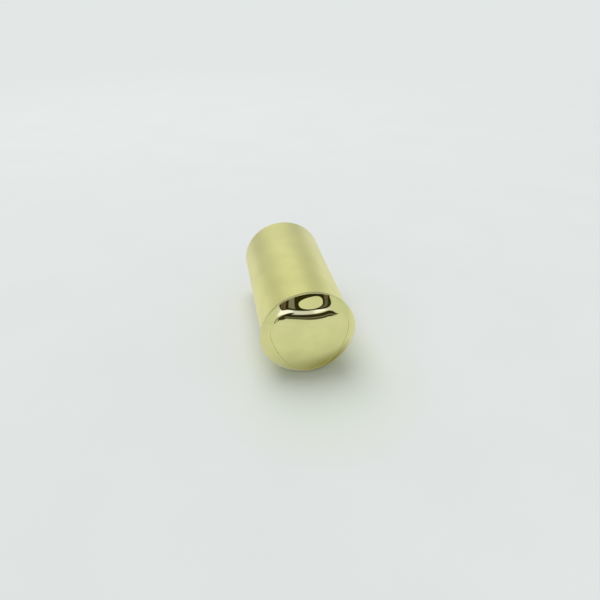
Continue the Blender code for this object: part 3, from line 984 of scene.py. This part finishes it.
finished("neck", turned([
    (NECK_RADIUS - SLEEVE_WALL, NECK_BOTTOM),
    (NECK_RADIUS, NECK_BOTTOM, 0.08),
    (NECK_RADIUS, NECK_TOP, 0.35),
    (NECK_LIP_RADIUS, NECK_TOP, 0.1),
    (NECK_LIP_RADIUS, NECK_TOP - NECK_LIP, 0.1),
    (NECK_RADIUS - SLEEVE_WALL, NECK_TOP - NECK_LIP),
]), bright, "base", "neck_shell")
finished("collar", turned([
    (COLLAR_RADIUS - SLEEVE_WALL, COLLAR_BOTTOM),
    (COLLAR_RADIUS, COLLAR_BOTTOM, 0.12),
    (COLLAR_RADIUS, COLLAR_TOP, 0.65),
    (COLLAR_LIP_RADIUS, COLLAR_TOP, 0.16),
    (COLLAR_LIP_RADIUS, COLLAR_TOP - COLLAR_LIP, 0.16),
    (COLLAR_RADIUS - SLEEVE_WALL, COLLAR_TOP - COLLAR_LIP, 0.2),
]), bright, "collar", "collar_shell")

# %% [markdown]
# ## Brake ring
#
# A rubber ring is squeezed between the neck and the spiral sleeve. It gives the turn its slow, even
# drag. It is a round section spun into a ring.

# %% Brake ring
RING_LOW, RING_HIGH, RING_RADIUS = span("brake_ring")
RING_SECTION_SIDES = 20
ring_half = (RING_HIGH - RING_LOW) / 2
ring_section = []
for step in range(RING_SECTION_SIDES):
    angle = math.tau * step / RING_SECTION_SIDES
    ring_section.append((RING_RADIUS - ring_half + ring_half * math.cos(angle),
                         RING_LOW + ring_half + ring_half * math.sin(angle)))

finished("brake_ring_body", turned(ring_section), rubber, "base", "brake_ring")

# %% [markdown]
# ## Guide tube and spiral sleeve
#
# These two make the lift. The guide tube stands still and has two straight slots. The spiral sleeve
# turns round it and has two tracks that climb one stroke in one turn. A lug of the cup sits where a slot
# and a track cross, and turning the sleeve moves that crossing up.
#
# Both start as an open wall: a vertical chain of points is spun once round the axis. For the sleeve the
# chain climbs while it spins, so its rows already follow the tracks. Then the faces in the slots or
# tracks are cut away, and the sheet gets its thickness.

# %% Walls with openings
LUG_REST = 14.6
STROKE = 12.5
CUT_EDGE = 1.0
CUT_STEPS = 2


def wall(radius, heights, climb=0.0):
    """An open sheet: a vertical chain of points, spun once round the axis while it climbs."""
    bm = bmesh.new()
    chain = [bm.verts.new((radius, 0.0, height)) for height in heights]
    edges = [bm.edges.new(pair) for pair in zip(chain, chain[1:])]
    bmesh.ops.spin(bm, geom=chain + edges, cent=ORIGIN, axis=AXIS, dvec=AXIS * climb / SIDES,
                   angle=math.tau, steps=SIDES)
    bmesh.ops.remove_doubles(bm, verts=bm.verts, dist=MERGE)
    return bm


def cut_and_thicken(bm, is_open, thickness, rounding):
    """Cut away the faces whose centre is open, thicken the sheet inwards and soften its edges."""
    away = [face for face in bm.faces if is_open(face.calc_center_median())]
    bmesh.ops.delete(bm, geom=away, context="FACES")
    bmesh.ops.recalc_face_normals(bm, faces=bm.faces)
    some_face = next(iter(bm.faces))
    outwards = some_face.normal.dot(some_face.calc_center_median().xy.to_3d()) > 0
    bmesh.ops.solidify(bm, geom=bm.faces[:], thickness=thickness if outwards else -thickness)
    soften(bm, [edge for edge in bm.edges if edge.calc_face_angle(0.0) > CUT_EDGE], rounding, CUT_STEPS)


def turn_of(point):
    """Angle of a point round the axis, in degrees from 0 to 360."""
    return math.degrees(math.atan2(point.y, point.x)) % 360


print(f"the cup rises {STROKE} mm in one turn")

# %% [markdown]
# ### Guide tube
#
# Its chain has points only where a slot starts and ends, so the slots' straight sides come from the
# spin's own columns. The points at a slot's ends are then moved onto a half circle, because a moulded
# slot is round there and the round lug rests against it.

# %% Guide tube
GUIDE_BOTTOM, GUIDE_TOP, GUIDE_RADIUS = span("guide_tube")
GUIDE_WALL = 0.5
SLOT_HALF = 1.0
SLOT_LOW = LUG_REST - SLOT_HALF
SLOT_HIGH = LUG_REST + STROKE + SLOT_HALF
SLOT_SPARE = 0.5
SLOT_END_SPARE = 1.01
GUIDE_EDGE_ROUND = 0.05
slot_reach = math.degrees(SLOT_HALF / GUIDE_RADIUS) + SLOT_SPARE


def in_slot(point):
    beside = min(turn_of(point) % 180, 180 - turn_of(point) % 180)
    return beside < slot_reach and SLOT_LOW < point.z < SLOT_HIGH


tube = wall(GUIDE_RADIUS, (GUIDE_BOTTOM, SLOT_LOW, SLOT_HIGH, GUIDE_TOP))
for vert in tube.verts:
    sideways = min(1.0, abs(vert.co.y) / SLOT_HALF)
    if abs(vert.co.y) < SLOT_HALF * SLOT_END_SPARE:
        end_round = SLOT_HALF * (1 - math.sqrt(1 - sideways ** 2))
        if abs(vert.co.z - SLOT_LOW) < ON_WALL:
            vert.co.z += end_round
        elif abs(vert.co.z - SLOT_HIGH) < ON_WALL:
            vert.co.z -= end_round
cut_and_thicken(tube, in_slot, GUIDE_WALL, GUIDE_EDGE_ROUND)
finished("guide_tube_body", tube, white_plastic, "base", "guide_tube")

# %% [markdown]
# ### Spiral sleeve
#
# The chain climbs one stroke while it is spun, so every row of faces is a helix and a track is simply a
# row that is left out. With two tracks, one for each lug, the rows are half a stroke apart. The helix
# runs past both ends of the sleeve, and two flat cuts trim it to length.

# %% Spiral sleeve
SPIRAL_BOTTOM, SPIRAL_TOP, SPIRAL_RADIUS = span("spiral_sleeve")
SPIRAL_WALL = 0.8
TRACK_STARTS = 2
TRACK_HALF = 1.05
RUN_OUT = 10.0
SPARE_ROWS = 3
SPIRAL_EDGE_ROUND = 0.06
track_pitch = STROKE / TRACK_STARTS


def in_track(point):
    """True in a track: it climbs from the lug's rest height by one stroke, and runs out a little."""
    for start in range(TRACK_STARTS):
        for lap in (-1, 0, 1):
            along = turn_of(point) - 360 * start / TRACK_STARTS + 360 * lap
            middle = LUG_REST + STROKE * along / 360
            if -RUN_OUT < along < 360 + RUN_OUT and abs(point.z - middle) < TRACK_HALF:
                return True
    return False


rows = []
for row in range(-SPARE_ROWS, SPARE_ROWS + 1):
    middle = LUG_REST + row * track_pitch
    rows += [middle - TRACK_HALF, middle + TRACK_HALF]
sleeve = wall(SPIRAL_RADIUS, rows, climb=STROKE)
for height, direction in ((SPIRAL_BOTTOM, -1), (SPIRAL_TOP, 1)):
    bmesh.ops.bisect_plane(sleeve, geom=sleeve.verts[:] + sleeve.edges[:] + sleeve.faces[:], dist=MERGE,
                           plane_co=(0.0, 0.0, height), plane_no=AXIS * direction, clear_outer=True)
cut_and_thicken(sleeve, in_track, SPIRAL_WALL, SPIRAL_EDGE_ROUND)
finished("spiral_sleeve_body", sleeve, grey_plastic, "collar", "spiral_sleeve")

# %% [markdown]
# ## Cup
#
# The cup holds the stick. Four ribs inside bite into it, and two lugs outside ride in the slots and
# tracks. The case is empty, as packaging is sold, so the cup's clean floor shows when the collar is
# turned up.

# %% Cup
CUP_BOTTOM, CUP_TOP, _ = span("cup")
CUP_RADIUS = 6.55
CUP_WALL = 0.5
CUP_FLOOR = 0.7
CUP_RIBS, CUP_FIRST_RIB = 4, math.radians(46.0)
CUP_RIB_HEIGHT = 0.3
CUP_RIB_LOW, CUP_RIB_HIGH = CUP_BOTTOM + 1.0, CUP_BOTTOM + 6.0
LUG_RADIUS = 0.8
LUG_FROM, LUG_TO = 6.3, 8.0
LUG_SIDES = 32
LUG_ROUND, LUG_STEPS = 0.15, 3
AT_LUG_END = 0.001
cup_bore = CUP_RADIUS - CUP_WALL

cup = turned([
    (0.0, CUP_BOTTOM),
    (CUP_RADIUS, CUP_BOTTOM, 0.25),
    (CUP_RADIUS, CUP_TOP, 0.2),
    (cup_bore, CUP_TOP, 0.2),
    (cup_bore, CUP_RIB_HIGH),
    (cup_bore, CUP_RIB_LOW),
    (cup_bore, CUP_BOTTOM + CUP_FLOOR),
    (0.0, CUP_BOTTOM + CUP_FLOOR),
])
raise_ribs(cup, CUP_RIBS, CUP_FIRST_RIB, CUP_RIB_LOW, CUP_RIB_HIGH, cup_bore, CUP_RIB_HEIGHT)
for side in (-1, 1):
    place = (Matrix.Translation((side * (LUG_FROM + LUG_TO) / 2, 0.0, LUG_REST))
             @ Matrix.Rotation(side * math.pi / 2, 4, "Y"))
    lug = bmesh.ops.create_cone(cup, cap_ends=True, segments=LUG_SIDES, radius1=LUG_RADIUS,
                                radius2=LUG_RADIUS, depth=LUG_TO - LUG_FROM, matrix=place)["verts"]
    rim = {edge for vert in lug for edge in vert.link_edges
           if all(abs(abs(end.co.x) - LUG_TO) < AT_LUG_END for end in edge.verts)}
    soften(cup, list(rim), LUG_ROUND, LUG_STEPS)
finished("cup_body", cup, cup_gold, "carrier", "cup")

# %% [markdown]
# ## Sizes
#
# The finer model has to fill the same box as the imported one.

# %% Finish
print("finished")
